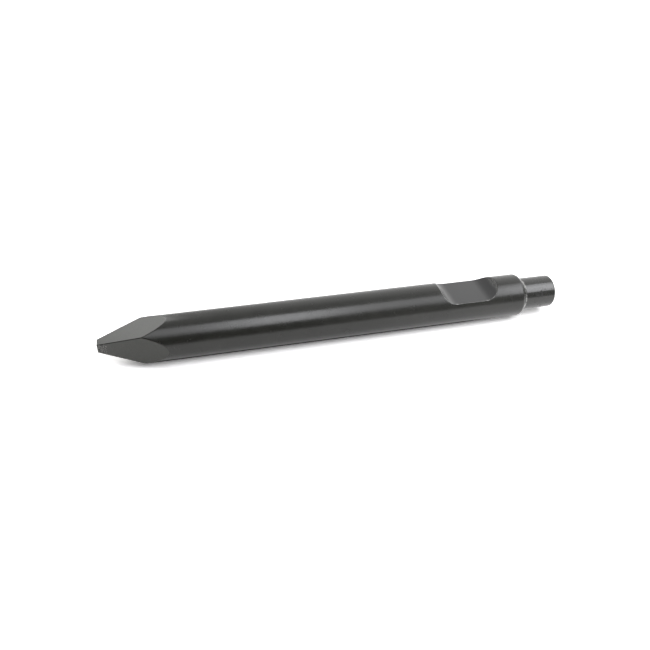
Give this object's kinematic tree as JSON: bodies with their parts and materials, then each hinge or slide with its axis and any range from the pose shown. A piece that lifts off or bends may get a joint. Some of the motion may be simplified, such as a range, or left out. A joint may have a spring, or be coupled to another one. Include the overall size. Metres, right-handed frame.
{
  "type": "moil point breaker steel",
  "caption": "Round steel bar with a four-sided blunt point at one end, a milled retaining notch and a smaller round striking end behind a rounded shoulder.",
  "frame": {"origin": "centre of the striking face", "axes": "+X along the bar's axis, out of the striking end; +Z out of the retaining notch, so the bar lies on its side; +Y completes the right hand"},
  "size_m": [0.79, 0.075, 0.075],
  "materials": {
    "black_steel": "black-finished forged and turned steel, satin, lightly worn along the edges"
  },
  "bodies": {
    "root": {"moil_point": "black_steel"}
  },
  "joints": []
}
